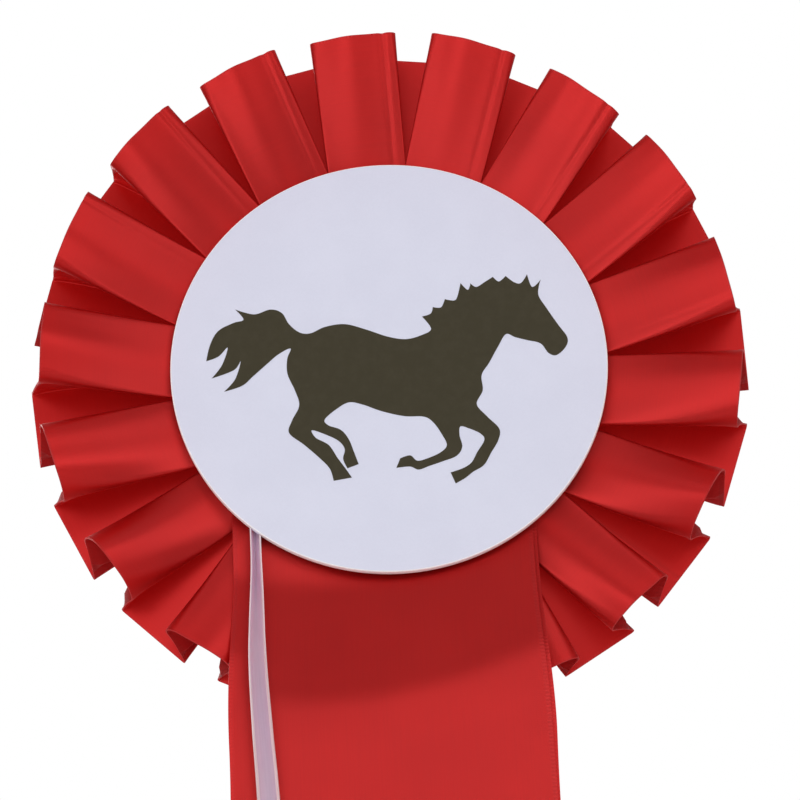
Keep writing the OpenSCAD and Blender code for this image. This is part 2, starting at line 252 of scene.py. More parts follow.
def satin(name, face, shade, edge, width, metallic=0.58, roughness=0.45, specular=0.6,
          edge_width=0.9 * MM, glow=(1, 0.35, 0.35)):
    """Woven satin: warp streaks along the ribbon, faint cross ribs and a denser selvedge."""
    material, tree, shader = new_material(name)
    uv = tree.nodes.new("ShaderNodeUVMap")
    uv.uv_map = "flat"
    flat = uv.outputs["UV"]
    split = tree.nodes.new("ShaderNodeSeparateXYZ")
    tree.links.new(flat, split.inputs["Vector"])
    along, across = split.outputs["X"], split.outputs["Y"]

    # long fine streaks of the warp, and broad patches where the dye took unevenly
    streaks = noise_node(tree, stretched(tree, flat, (60, 3500, 1)), 1.0, 3.0, 0.6)
    patches = noise_node(tree, flat, 45.0)
    tone = math_node(tree, "MULTIPLY_ADD", streaks, 0.35, math_node(tree, "MULTIPLY", patches, 0.65))
    body = blend_colours(tree, ramp(tree, tone, 0.3, 0.72), shade, face)

    # the selvedge, with its short loops of weft
    off_middle = math_node(tree, "ABSOLUTE", math_node(tree, "SUBTRACT", across, width / 2))
    on_edge = ramp(tree, off_middle, width / 2 - edge_width, width / 2 - edge_width * 0.7)
    loops = math_node(tree, "SINE", math_node(tree, "MULTIPLY", along, math.tau / weft_loop))
    tree.links.new(blend_colours(tree, on_edge, body, edge), shader.inputs["Base Color"])

    ribs = math_node(tree, "SINE", math_node(tree, "MULTIPLY", along, math.tau / rib_pitch))
    weave = math_node(tree, "MULTIPLY_ADD", ribs, 0.12, streaks)
    add_bump(tree, shader, math_node(tree, "MULTIPLY_ADD", on_edge, loops, weave), 0.25, 0.03 * MM)

    rough = spread(tree, streaks, roughness - 0.06, roughness + 0.1)
    tree.links.new(rough, shader.inputs["Roughness"])
    shader.inputs["Metallic"].default_value = metallic
    shader.inputs["Specular IOR Level"].default_value = specular
    # thin ribbon lets some light through, and glow is how far each of its colours gets
    shader.inputs["Subsurface Weight"].default_value = 0.8
    shader.inputs["Subsurface Radius"].default_value = glow
    shader.inputs["Subsurface Scale"].default_value = 3.0 * MM
    # the gloss stretches across the warp threads
    shader.inputs["Anisotropic"].default_value = 0.9
    shader.inputs["Anisotropic Rotation"].default_value = 0.25
    tangent = tree.nodes.new("ShaderNodeTangent")
    tangent.direction_type = "UV_MAP"
    tangent.uv_map = "flat"
    tree.links.new(tangent.outputs["Tangent"], shader.inputs["Tangent"])
    return material


def card_paper(name, face, fibre, rim_shadow_colour, rim_radius):
    """Printed card: fine fibres, a faint mottle and a painted shadow line round its upper rim."""
    material, tree, shader = new_material(name)
    vector = object_vector(tree)
    fibres = noise_node(tree, vector, 2600.0, 5.0, 0.7)
    mottle = noise_node(tree, vector, 130.0, 3.0)
    tone = math_node(tree, "MULTIPLY_ADD", fibres, 0.5, math_node(tree, "MULTIPLY", mottle, 0.5))
    paper = blend_colours(tree, ramp(tree, tone, 0.3, 0.7), fibre, face)

    # the distance from the card's middle, seen from the front
    from_middle = tree.nodes.new("ShaderNodeVectorMath")
    from_middle.operation = "DISTANCE"
    from_middle.inputs[1].default_value = (0, 0, card_z)
    tree.links.new(stretched(tree, vector, (1, 0, 1)), from_middle.inputs[0])
    # painted shadow: the outermost 0.25 mm of the face is darker on the upper part of the card, where
    # the gap behind its rim lies in shade
    at_rim = ramp(tree, from_middle.outputs["Value"], rim_radius - 0.25 * MM, rim_radius)
    place = tree.nodes.new("ShaderNodeSeparateXYZ")
    tree.links.new(vector, place.inputs["Vector"])
    upper = ramp(tree, place.outputs["Z"], card_z - 0.4 * rim_radius, card_z + 0.2 * rim_radius)
    rim_shadow = math_node(tree, "MULTIPLY", at_rim, upper)
    tree.links.new(blend_colours(tree, rim_shadow, paper, rim_shadow_colour), shader.inputs["Base Color"])
    shader.inputs["Roughness"].default_value = 0.5
    shader.inputs["Specular IOR Level"].default_value = 0.3
    add_bump(tree, shader, fibres, 0.15, 0.03 * MM)
    return material


def board(name, colour, fleck, fleck_scale=900.0):
    """Plain pulp board with flecks and a soft fibre relief."""
    material, tree, shader = new_material(name)
    vector = object_vector(tree)
    fibres = noise_node(tree, vector, 1500.0, 6.0, 0.75)
    flecks = ramp(tree, noise_node(tree, vector, fleck_scale, 4.0, 0.7), 0.58, 0.68)
    darker = tuple(c * 0.88 for c in colour)
    base = blend_colours(tree, ramp(tree, fibres, 0.3, 0.7), darker, colour)
    tree.links.new(blend_colours(tree, flecks, base, fleck), shader.inputs["Base Color"])
    shader.inputs["Roughness"].default_value = 0.85
    add_bump(tree, shader, fibres, 0.4, 0.08 * MM)
    return material


def printed_ink(name, colour, thin):
    """Screen ink: nearly even, a little thinner in specks."""
    material, tree, shader = new_material(name)
    vector = object_vector(tree)
    specks = noise_node(tree, vector, 700.0, 4.0, 0.6)
    tone = blend_colours(tree, ramp(tree, specks, 0.35, 0.75), colour, thin)
    tree.links.new(tone, shader.inputs["Base Color"])
    shader.inputs["Roughness"].default_value = 0.55
    shader.inputs["Specular IOR Level"].default_value = 0.25
    add_bump(tree, shader, specks, 0.1, 0.02 * MM)
    return material


def foam(name, colour, pit_shade):
    """Open foam: small round cells, with painted shade in their hollows."""
    material, tree, shader = new_material(name)
    vector = object_vector(tree)
    cells = tree.nodes.new("ShaderNodeTexVoronoi")
    cells.inputs["Scale"].default_value = 1700.0
    tree.links.new(vector, cells.inputs["Vector"])
    # painted shade: each cell's hollow middle takes the darker colour
    hollow = ramp(tree, cells.outputs["Distance"], 0.1, 0.55)
    tree.links.new(blend_colours(tree, hollow, pit_shade, colour), shader.inputs["Base Color"])
    shader.inputs["Roughness"].default_value = 0.95
    add_bump(tree, shader, hollow, 0.8, 0.15 * MM)
    return material


def metal(name, colour, tarnish, roughness, brush):
    """Drawn or pressed metal with dull patches; brush is how fine its lines are along each axis."""
    material, tree, shader = new_material(name)
    vector = object_vector(tree)
    lines = noise_node(tree, stretched(tree, vector, brush), 1.0, 4.0, 0.6)
    dull = ramp(tree, noise_node(tree, vector, 350.0, 4.0, 0.6), 0.45, 0.75)
    tree.links.new(blend_colours(tree, dull, colour, tarnish), shader.inputs["Base Color"])
    rough = spread(tree, lines, roughness - 0.08, roughness + 0.12)
    tree.links.new(rough, shader.inputs["Roughness"])
    shader.inputs["Metallic"].default_value = 1.0
    add_bump(tree, shader, lines, 0.12, 0.03 * MM)
    return material


def thread(name, colour, shade):
    """Twisted sewing thread: slanting plies, with painted shade in the grooves between them."""
    material, tree, shader = new_material(name)
    vector = object_vector(tree)
    plies = tree.nodes.new("ShaderNodeTexWave")
    plies.bands_direction = "DIAGONAL"
    plies.inputs["Scale"].default_value = 900.0
    plies.inputs["Distortion"].default_value = 1.5
    tree.links.new(vector, plies.inputs["Vector"])
    # painted shade: the darker colour lies in the grooves between the plies
    tone = blend_colours(tree, plies.outputs["Fac"], shade, colour)
    tree.links.new(tone, shader.inputs["Base Color"])
    shader.inputs["Roughness"].default_value = 0.7
    shader.inputs["Sheen Weight"].default_value = 0.3
    add_bump(tree, shader, plies.outputs["Fac"], 0.5, 0.05 * MM)
    return material


def floor_paper(name):
    """Plain pale paper with a faint grain."""
    material, tree, shader = new_material(name)
    grain = noise_node(tree, object_vector(tree), 60.0, 4.0)
    tone = blend_colours(tree, grain, (0.86, 0.86, 0.85), (0.9, 0.9, 0.89))
    tree.links.new(tone, shader.inputs["Base Color"])
    shader.inputs["Roughness"].default_value = 0.9
    return material


# ---------------------------------------------------------------- mesh helpers


def link(name, mesh):
    """A new piece in the scene, with that mesh."""
    piece = bpy.data.objects.new(name, mesh)
    bpy.context.scene.collection.objects.link(piece)
    return piece


def finished(piece, crease=50):
    """The piece with its modifiers applied, shaded smooth except at creases."""
    depsgraph = bpy.context.evaluated_depsgraph_get()
    mesh = bpy.data.meshes.new_from_object(piece.evaluated_get(depsgraph))
    piece.modifiers.clear()
    piece.data = mesh
    mesh.polygons.foreach_set("use_smooth", [True] * len(mesh.polygons))
    mesh.set_sharp_from_angle(angle=math.radians(crease))
    return piece


def cloth(name, grid, flat, thickness, materials):
    """A ribbon from a grid of points, with each point's place on the flat ribbon."""
    rows, columns = grid.shape[:2]
    index = np.arange(rows * columns).reshape(rows, columns)
    corners = [index[:-1, :-1], index[1:, :-1], index[1:, 1:], index[:-1, 1:]]
    faces = np.stack(corners, axis=-1).reshape(-1, 4)
    mesh = bpy.data.meshes.new(name)
    mesh.from_pydata(grid.reshape(-1, 3).tolist(), [], faces.tolist())
    layer = mesh.uv_layers.new(name="flat")
    layer.data.foreach_set("uv", flat.reshape(-1, 2)[faces.reshape(-1)].reshape(-1))
    for material in materials:
        mesh.materials.append(material)
    piece = link(name, mesh)
    shell = piece.modifiers.new("shell", "SOLIDIFY")
    shell.thickness = thickness
    shell.offset = 0
    shell.material_offset = len(materials) - 1
    return finished(piece)


def smooth_line(points, step):
    """A smooth curve through points, as evenly spaced points about a step apart, and how far
    along the curve each of them is."""
    points = [Vector(p) for p in points]
    extended = [points[0] * 2 - points[1], *points, points[-1] * 2 - points[-2]]
    fine = []
    for a, b, c, d in zip(extended, extended[1:], extended[2:], extended[3:]):
        for t in np.linspace(0, 1, 40, endpoint=False):
            fine.append(0.5 * (2 * b + (c - a) * t + (2 * a - 5 * b + 4 * c - d) * t * t
                               + (3 * b - a - 3 * c + d) * t ** 3))
    fine.append(points[-1])
    fine = np.array([list(p) for p in fine])
    travelled = np.concatenate([[0], np.cumsum(np.linalg.norm(np.diff(fine, axis=0), axis=1))])
    count = max(2, round(travelled[-1] / step) + 1)
    at = np.linspace(0, travelled[-1], count)
    return np.stack([np.interp(at, travelled, fine[:, i]) for i in range(3)], axis=1), at


def polyline_length(points):
    return sum(math.dist(a, b) for a, b in zip(points, points[1:]))


def smooth_step(value, low, high):
    """0 where value is below low, 1 where it is above high, and a soft rise between."""
    t = np.clip((value - low) / (high - low), 0, 1)
    return t * t * (3 - 2 * t)


# ---------------------------------------------------------------- narrow ribbon

narrow_width = 4 * MM
narrow_thickness = 0.2 * MM
narrow_columns = 17
# the ribbon's middle line from above the card's edge down, as [right, up] from the card's middle
narrow_route = [(-24.1, -13), (-24.1, -36), (-24.2, -52), (-23.6, -66), (-22.8, -80), (-21.6, -112),
                (-21.2, -150), (-21.7, -186), (-22.8, -222)]
# the slope of its sides, in degrees: nearly flat low down, and steep where it is a channel
flat_slope, channel_slope = 14, 84
channel_end, channel_start = -96 * MM, -48 * MM
# at the card's edge it is pinched to a sharp fold, which ends between these heights
pinch_end, pinch_start = -55 * MM, -32 * MM


def channel(opened, pinched):
    """The ribbon's cross-section: how far each column stands sideways and back from its middle."""
    across = np.linspace(-1, 1, narrow_columns)
    steep = math.radians(flat_slope + (channel_slope - flat_slope) * opened)
    slope = steep * np.sign(across) * np.abs(across) ** (1 - 0.72 * pinched)
    halfway = (slope[1:] + slope[:-1]) / 2
    step = narrow_width / (narrow_columns - 1)
    sideways = np.concatenate([[0], np.cumsum(np.cos(halfway))]) * step
    back = np.concatenate([[0], np.cumsum(np.sin(halfway))]) * step
    middle = narrow_columns // 2
    return sideways - sideways[middle], back - back[middle]


def narrow_ribbon(material):
    """A flat ribbon, pinched into a channel at the card's edge, opening as it falls."""
    route = [(right * MM, 0, up * MM) for right, up in narrow_route]
    middle_line, travelled = smooth_line(route, 1.2 * MM)
    grid = np.zeros((len(middle_line), narrow_columns, 3))
    flat = np.zeros((len(middle_line), narrow_columns, 2))
    for i, (right, _, up) in enumerate(middle_line):
        opened = np.interp(up, (channel_end, channel_start), (0, 1))
        pinched = smooth_step(up, pinch_end, pinch_start)
        sideways, back = channel(opened, pinched)
        twist = math.radians(12 * math.sin(up / 0.03))
        below = tail_height(right - front_middle, up) + tail_gap + tail_thickness / 2
        height = below + (0.2 + 0.5 * (1 - pinched)) * MM
        grid[i, :, 0] = right + sideways * math.cos(twist) - back * math.sin(twist)
        grid[i, :, 1] = base_front - height - sideways * math.sin(twist) - back * math.cos(twist)
        grid[i, :, 2] = card_z + up
        flat[i, :, 0] = travelled[i]
        flat[i, :, 1] = np.linspace(0, narrow_width, narrow_columns)
    piece = cloth("lilac_ribbon", grid, flat, narrow_thickness, [material])
    piece.data.name = piece.name
    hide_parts("narrow_ribbon_anchor", "narrow_ribbon")
    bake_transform(piece)


# ---------------------------------------------------------------- tails

tail_thickness = 0.3 * MM
# the front tail hangs this far in front of the rear one
tail_gap = 0.55 * MM
tail_top = -10 * MM
tail_drop = -235 * MM
# how far each tail's end is cut on the slant
end_slant = 14 * MM
front_low, front_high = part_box("front_tail")
rear_low, rear_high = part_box("rear_tail")
front_middle = (front_low.x + front_high.x) / 2
rear_middle = (rear_low.x + rear_high.x) / 2
tail_width = front_high.x - front_low.x
# the tails' way down, as heights over the base card: under the card, then up over the pleats
tail_places = np.array([-235, -66, -60.5, -37.5, -20, 0]) * MM
tail_heights = np.array([10.3, 10.3, 9.9, 3.4, 2.6, 2.1]) * MM
# the way's corners are rounded by averaging it over these shifts
tail_blur = np.linspace(-2.2, 2.2, 9) * MM


def tail_height(right, up):
    """The rear tail's height over the base card, at a place beside its own middle."""
    side = right / (tail_width / 2)
    # its edges come up over the pleats higher than its middle does, the right edge most of all
    shifted = up - (3.6 * side + 4.6 * side ** 2) * MM
    path = sum(np.interp(shifted + blur, tail_places, tail_heights) for blur in tail_blur)
    hangs = smooth_step(-up, 0.040, 0.060)
    crown = 0.55 * MM * hangs * (1 - side ** 2)
    drift = 0.5 * MM * hangs * np.sin(up / 0.034 + 1.4 * side)
    # the left edge rests on the pleat beside it
    on_pleat = smooth_step(-up, 0.022, 0.032) * (1 - smooth_step(-up, 0.050, 0.062))
    rest = 1.6 * MM * np.maximum(0, -side) ** 4 * on_pleat
    return path / len(tail_blur) + crown + drift + rest


def tail(name, materials, middle, lift, slant, seed):
    """One broad tail as a hanging sheet, with a slanted end and slightly wandering edges."""
    rows, columns = 230, 49
    grid = np.zeros((rows, columns, 3))
    flat = np.zeros((rows, columns, 2))
    for j, side in enumerate(np.linspace(-1, 1, columns)):
        low = tail_drop + (slant / 2) * (1 + side if slant > 0 else side - 1)
        ups = np.linspace(tail_top, low, rows)
        narrowing = 1 - 0.055 * (1 - smooth_step(-ups, 0.036, 0.068))
        wander = np.array([noise.noise(Vector((up * 45, side * 0.4 + seed, 3.1))) for up in ups])
        right = middle + side * tail_width / 2 * narrowing + wander * 0.35 * MM
        height = tail_height(right - middle, ups) + lift
        grid[:, j] = np.stack([right, base_front - height, card_z + ups], axis=1)
        flat[:, j, 0] = tail_top - ups
        flat[:, j, 1] = (side + 1) / 2 * tail_width
    piece = cloth(name, grid, flat, tail_thickness, materials)
    return piece


def tails(face, back):
    """The two broad tails, cut on opposite slants."""
    front = tail("front_tail_sheet", [face, back], front_middle, tail_gap, end_slant, 1.0)
    rear = tail("rear_tail_sheet", [face, back], rear_middle, 0.0, -end_slant, 7.0)
    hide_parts("front_tail_anchor", "front_tail")
    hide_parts("rear_tail_anchor", "rear_tail")
    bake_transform(front)
    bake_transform(rear)


# ---------------------------------------------------------------- pleated ruffle

ruffle_width = 38 * MM
ruffle_thickness = 0.28 * MM
# the radius of its inner edge, and how high its lower layer lies over the base card
ruffle_inner = 23.5 * MM
ruffle_low = 0.15 * MM
# how high the panels stand at their inner edge, pressed flat under the card
pressed_height = 1.45 * MM
# from this share of the way out, the lower layer bends back at the top of the ring
flare_start = 0.26
ruffle_flare = 3.0 * MM
# the first pleats stand free, and the rest are crowded together behind the tails
pleat_total = 18
open_pleats = 13
first_gap = -39.0
crowded_span = 94.8
# how many points a pleat's line has on each stretch and arc from the gap up to the panel, and
# how many across the panel
side_counts = [5, 6, 4, 5, 4, 5, 5, 7]
panel_count = 41


def gap_angle(k):
    """The angle of the gap before pleat k, in degrees anticlockwise from the right."""
    open_pitch = (360 - crowded_span) / open_pleats
    crowded_pitch = crowded_span / (pleat_total - open_pleats)
    return first_gap + min(k, open_pleats) * open_pitch + max(0, k - open_pleats) * crowded_pitch


def rounded(points, radii, counts):
    """A polyline with its inner corners rounded, with a fixed count of points on each stretch
    and each arc."""
    points = [np.array(p, float) for p in points]
    line = []
    start = points[0]
    arcs = zip(points, points[1:], points[2:], radii, counts[::2], counts[1::2])
    for last, corner, following, radius, stretch_count, arc_count in arcs:
        before, after = corner - last, following - corner
        before_length, after_length = np.linalg.norm(before), np.linalg.norm(after)
        before, after = before / before_length, after / after_length
        turn = math.acos(float(np.clip(before @ after, -1, 1)))
        reach = min(radius * math.tan(min(turn / 2, 1.0)), 0.42 * before_length, 0.42 * after_length)
        enter, leave = corner - before * reach, corner + after * reach
        t = np.linspace(0, 1, stretch_count, endpoint=False)[:, None]
        line.append(start + (enter - start) * t)
        # the arc is a conic between enter and leave
        t = np.linspace(0, 1, arc_count, endpoint=False)[:, None]
        pull = 2 * max(0.02, math.cos(turn / 2)) * t * (1 - t)
        total = (1 - t) ** 2 + pull + t ** 2
        line.append(((1 - t) ** 2 * enter + pull * corner + t ** 2 * leave) / total)
        start = leave
    t = np.linspace(0, 1, counts[-1])[:, None]
    line.append(start + (points[-1] - start) * t)
    return np.concatenate(line)


class Pleat:
    """The shape of one pleat; small differences come from a fixed random order."""

    def __init__(self, k, rng):
        self.start, self.end = gap_angle(k), gap_angle(k + 1)
        self.middle = (self.start + self.end) / 2
        # 0 at the very top of the ring, 1 at the bottom, where the pleats stand roundest
        below = 0.5 - 0.5 * math.sin(math.radians(self.middle))
        rightward = max(0.0, math.cos(math.radians(self.middle)))
        # curve says how late the panel rises: a pleat that touches a tail lies lower near the card
        self.curve = 2.0 if k in (0, open_pleats - 1, open_pleats, pleat_total - 1) else 1.4
        if k < open_pleats:
            self.height, self.crown = (14.4 - 6.0 * below ** 2) * MM, (1.0 + 5.5 * below ** 2) * MM
        elif k in (open_pleats, pleat_total - 1):
            self.height, self.crown = 9.0 * MM, 1.5 * MM
        else:
            self.height, self.crown = 7.0 * MM, 0.4 * MM
        self.height *= 1 + rng.uniform(-0.04, 0.04)
        self.crown *= rng.uniform(0.8, 1.2)
        self.width = (14.5 - 1.4 * below ** 2) * MM * (1 + rng.uniform(-0.02, 0.02))
        self.lean = rng.uniform(-0.4, 0.4) * MM
        self.tilt = rng.uniform(-0.6, 0.6) * MM
        self.wave = rng.uniform(0.1, 0.25) * MM
        self.phase = rng.uniform(0, math.tau)
        self.reach = rng.uniform(-0.3, 0.4) * MM
        self.roundness = (0.8 + 2.4 * below) * MM
        # the upper pleats keep a pressed crease beside one fold
        self.crease = 0.32 * MM * max(0, 1 - 2 * below)
        # how far up the walls their two folds are
        self.wall_shares = (0.22 - 0.08 * below, 0.45 - 0.18 * below)
        # how far out the walls' feet stand at the outer edge, as shares of the panel's half width
        self.feet = (rng.uniform(0.5, 0.65) - 0.25 * below - 0.2 * below * rightward,
                     rng.uniform(0.6, 0.75) - 0.25 * below * rightward)

    def side(self, s, tucked, foot_share):
        """Half of the line, from the panel's fold down its wall to the middle of the next gap."""
        half_arc = math.radians(self.end - self.start) / 2 * (ruffle_inner + ruffle_width * s)
        half = min(self.width / 2 * (0.85 + 0.15 * s), half_arc * 0.99)
        height = pressed_height + (self.height - pressed_height) * s ** self.curve
        foot = half * (0.08 + (foot_share - 0.08) * s * s)
        climb = height - ruffle_low
        low_fold, high_fold = ((foot + (half - foot) * share, ruffle_low + climb * share)
                               for share in self.wall_shares)
        outward = (low_fold[0] + ((0.92 - 0.4 * s) * half - low_fold[0]) * tucked, low_fold[1])
        inward = (high_fold[0] + (0.1 * half - high_fold[0]) * tucked, high_fold[1])
        return [(half, height), inward, outward, (foot, ruffle_low), (half_arc, ruffle_low)]

    def corners(self, s, tucked):
        """The corners of the line at a share s of the way out; tucked is how far its walls fold in."""
        left = [(-x, y) for x, y in reversed(self.side(s, tucked, self.feet[0]))]
        return left + self.side(s, tucked, self.feet[1])

    def tuck(self, s):
        """How far the walls fold in, so that the ribbon is as long here as at its outer edge."""
        full_length = polyline_length(self.corners(1, 0))
        low, high = 0.0, 1.0
        for _ in range(14):
            middle = (low + high) / 2
            if polyline_length(self.corners(s, middle)) < full_length:
                low = middle
            else:
                high = middle
        return low

    def relief(self, s, across):
        """How far the panel stands off its flat shape: crowned, tilted, wavy and creased."""
        crease = self.crease * np.exp(-((across + 0.7) / 0.06) ** 2)
        wave = self.wave * np.sin(math.tau * 0.9 * across + self.phase)
        return s ** 2 * (self.tilt * across + self.crown * (1 - across ** 2) - crease + wave)

    def line(self, s):
        """The rounded line at a share s of the way out, along the ring and up, and the height and
        half width of its panel and half of the pleat's whole arc."""
        corners = self.corners(s, self.tuck(s))
        half_arc, (half, height) = corners[-1][0], corners[5]
        edge = min(self.roundness * (0.15 + 0.85 * s * s), 0.45 * height)
        radii = [0.4 * MM, 0.2 * MM, 0.2 * MM, edge]
        line = rounded(corners, radii + radii[::-1], side_counts + [panel_count] + side_counts[::-1])
        return line[:, 0], line[:, 1], height, half, half_arc

    def points(self, s):
        """The line at a share s of the way out, bent round the ring: right, height and up."""
        arc, up, height, half, half_arc = self.line(s)
        low_radius = ruffle_inner + ruffle_width * s
        # 0 on the lower layer, 1 on the panel
        lift = np.clip((up - ruffle_low) / (height - ruffle_low), 0, 1)
        # rounding draws the folds in, so each side is stretched back to the panel's width
        for side in (-1, 1):
            on_side = side * arc > 0
            widest = np.max(side * arc[on_side & (lift > 0.4)])
            arc = np.where(on_side, arc * (1 + (half / widest - 1) * lift), arc)
        up = up + lift * self.relief(s, np.clip(arc / half, -1, 1))
        # the lower layer flares back at the top of the ring
        upward = np.maximum(0, np.sin(math.radians(self.middle) + arc / low_radius))
        flare = ruffle_flare * max(0, (s - flare_start) / (1 - flare_start)) ** 1.5
        up = up - (1 - lift) * upward * flare
        # a panel that climbs reaches less far out than the lower layer
        climb = height - ruffle_low
        high_radius = ruffle_inner + math.sqrt(max(0, (ruffle_width * s) ** 2 - climb ** 2))
        radius = low_radius + (high_radius + self.reach * s - low_radius) * lift
        # straight outer edges: a panel's across its own middle, the lower layer's across the gap
        from_middle = arc / low_radius
        from_gap = np.where(arc > 0, half_arc - arc, -half_arc - arc) / low_radius
        straight = lift / np.cos(from_middle) + (1 - lift) / np.cos(from_gap)
        radius = radius * (1 + (straight - 1) * s)
        arc = arc + self.lean * s ** 2 * lift
        angle = math.radians(self.middle) + arc / (low_radius + (high_radius - low_radius) * lift)
        return np.stack([radius * np.cos(angle), up, radius * np.sin(angle)], axis=1)


def ruffle(face, back):
    """One satin ribbon, box-pleated all the way round."""
    rng = random.Random(11)
    pleats = [Pleat(k, rng) for k in range(pleat_total)]
    stations = np.linspace(0, 1, 31)
    rows = []
    for s in stations:
        # each pleat ends where the next one starts, and the last one where the first one does
        line = np.concatenate([pleat.points(s)[:-1] for pleat in pleats])
        rows.append(np.concatenate([line, line[:1]]))
    local = np.array(rows)
    steps = np.linalg.norm(np.diff(local[-1], axis=0), axis=1)
    along = np.concatenate([[0], np.cumsum(steps)])
    grid = np.stack([local[..., 0], base_front - local[..., 1], card_z + local[..., 2]], axis=-1)
    flat = np.zeros((*local.shape[:2], 2))
    flat[..., 0] = along[None, :]
    flat[..., 1] = (stations * ruffle_width)[:, None]
    piece = cloth("ruffle", grid, flat, ruffle_thickness, [face, back])
    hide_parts("pleated_ribbon")
    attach(piece, "rosette")


# ---------------------------------------------------------------- card and print

rim_round = 0.3 * MM
back_round = 0.05 * MM
rim_steps = 5
card_turns = 192


def card_profile():
    """Half of the card's cross-section, from the middle of its front to the middle of its back."""
    profile = [(0.0, card_front), (card_radius * 0.5, card_front)]
    for i in range(rim_steps + 1):
        a = math.pi / 2 * i / rim_steps
        profile.append((card_radius + rim_round * (math.sin(a) - 1),
                        card_front + rim_round * (math.cos(a) - 1)))
    profile += [(card_radius, card_back + back_round), (card_radius - back_round, card_back)]
    return profile + [(0.0, card_back)]


def card_ring(bm, radius, height):
    """The points of one ring round the card, or the one point at its middle."""
    if radius == 0:
        return [bm.verts.new(on_card(0, height, 0))]
    angles = [math.tau * i / card_turns for i in range(card_turns)]
    return [bm.verts.new(on_card(radius * math.cos(a), height, radius * math.sin(a))) for a in angles]


def centre_card(face, cut_edge):
    """The card, with a softly rounded front rim and a bright cut edge."""
    bm = bmesh.new()
    rings = [card_ring(bm, radius, height) for radius, height in card_profile()]
    # the cut edge starts one step down the rounded rim and ends at the back
    edge_rows = range(3, len(rings) - 2)
    for row, (a, b) in enumerate(zip(rings, rings[1:])):
        for i in range(card_turns):
            j = i + 1
            corners = [a[i % len(a)], b[i % len(b)], b[j % len(b)], a[j % len(a)]]
            made = bm.faces.new(list(dict.fromkeys(corners)))
            made.material_index = 1 if row in edge_rows else 0
    bmesh.ops.recalc_face_normals(bm, faces=bm.faces)
    mesh = bpy.data.meshes.new("printed_card")
    bm.to_mesh(mesh)
    bm.free()
    mesh.materials.append(face)
    mesh.materials.append(cut_edge)
    piece = finished(link("printed_card", mesh), 40)
    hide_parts("centre_card")
    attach(piece, "rosette")


# The galloping horse's outline in millimetres about the card's middle, clockwise from the poll.
# It breaks at a point that is marked as a tip, and runs smoothly through the others.
tip = "tip"
horse_head = [
    (23.1, 15.2), (24.2, 16.8, tip), (25.0, 14.4), (26.5, 15.7, tip), (26.0, 13.0),
    (27.4, 10.3), (29.2, 7.3), (30.7, 4.9), (30.4, 3.2), (28.8, 1.7), (27.4, 2.1), (26.1, 3.9),
    (23.8, 4.6), (21.8, 5.2), (20.2, 5.8),
]
horse_breast = [
    (18.8, 3.6), (17.2, 0.7), (15.8, -1.6), (15.9, -4.4), (14.8, -6.9),
]
horse_near_foreleg = [
    (16.5, -9.2), (18.5, -11.5), (18.3, -13.5), (17.0, -15.8), (15.7, -18.0), (13.8, -19.2),
    (12.4, -20.3), (10.8, -21.2, tip), (10.0, -19.2, tip), (12.1, -18.5), (13.6, -17.5),
    (14.6, -15.7), (15.9, -13.5), (15.3, -12.3), (13.4, -11.3), (11.9, -10.9),
]
horse_far_foreleg = [
    (11.7, -12.5), (12.1, -14.6), (11.1, -16.2), (8.8, -17.1), (6.4, -17.9), (4.6, -18.5),
    (3.1, -17.9), (0.8, -18.1, tip), (1.5, -16.4, tip), (3.2, -15.9), (4.4, -16.9),
    (6.2, -16.5), (8.4, -15.5), (9.5, -14.2), (8.7, -12.2), (7.3, -10.0),
]
horse_belly = [
    (5.7, -8.9), (2.4, -8.7), (-1.4, -7.7), (-4.6, -6.4), (-7.0, -5.9), (-9.2, -7.1),
    (-11.2, -8.9),
]
horse_far_hind_leg = [
    (-10.6, -10.0), (-8.5, -10.9), (-7.2, -12.6), (-6.4, -14.8), (-5.6, -17.2, tip),
    (-7.5, -17.9, tip), (-8.2, -16.2), (-7.9, -14.4), (-8.9, -12.9), (-11.0, -11.7),
    (-13.4, -10.8),
]
horse_near_hind_leg = [
    (-12.8, -12.2), (-10.6, -13.6), (-9.2, -15.9), (-7.8, -18.0), (-6.8, -19.6, tip),
    (-9.9, -20.1, tip), (-10.5, -17.9), (-12.2, -15.9), (-14.8, -13.4), (-17.3, -11.2),
    (-16.8, -9.0), (-15.5, -6.2), (-16.2, -3.4), (-17.4, -0.4), (-17.4, 2.4), (-16.8, 4.3),
]
horse_tail = [
    (-18.9, 3.3), (-21.2, 1.3), (-23.4, -0.7), (-25.2, -2.3), (-28.3, -3.3, tip), (-26.4, -1.1),
    (-25.4, 2.2), (-26.6, 0.6), (-30.4, -0.8, tip), (-28.6, 1.6), (-27.6, 4.8), (-29.2, 3.2),
    (-31.3, 2.4, tip), (-30.6, 5.4), (-29.2, 7.9), (-26.6, 9.3), (-24.8, 9.9),
    (-26.2, 11.8, tip), (-23.0, 10.8), (-20.2, 11.6), (-18.2, 10.9), (-17.0, 8.8), (-15.2, 7.2),
]
horse_back = [
    (-13.3, 7.0), (-10.8, 8.1), (-7.4, 8.5), (-3.8, 7.4), (-0.2, 6.0), (3.0, 5.4), (5.8, 6.1),
    (7.4, 7.2),
]
horse_mane = [
    (5.9, 9.5, tip), (7.4, 10.0), (7.8, 11.2, tip), (9.2, 11.1), (9.9, 12.6, tip), (11.5, 12.3),
    (12.1, 13.1), (12.7, 15.5, tip), (13.9, 14.2), (14.4, 15.4, tip), (15.4, 14.7),
    (16.9, 15.6), (18.3, 16.5, tip), (19.3, 15.6), (20.5, 16.6, tip), (21.9, 15.4),
]
horse_outline = (horse_head + horse_breast + horse_near_foreleg + horse_far_foreleg + horse_belly
                 + horse_far_hind_leg + horse_near_hind_leg + horse_tail + horse_back + horse_mane)

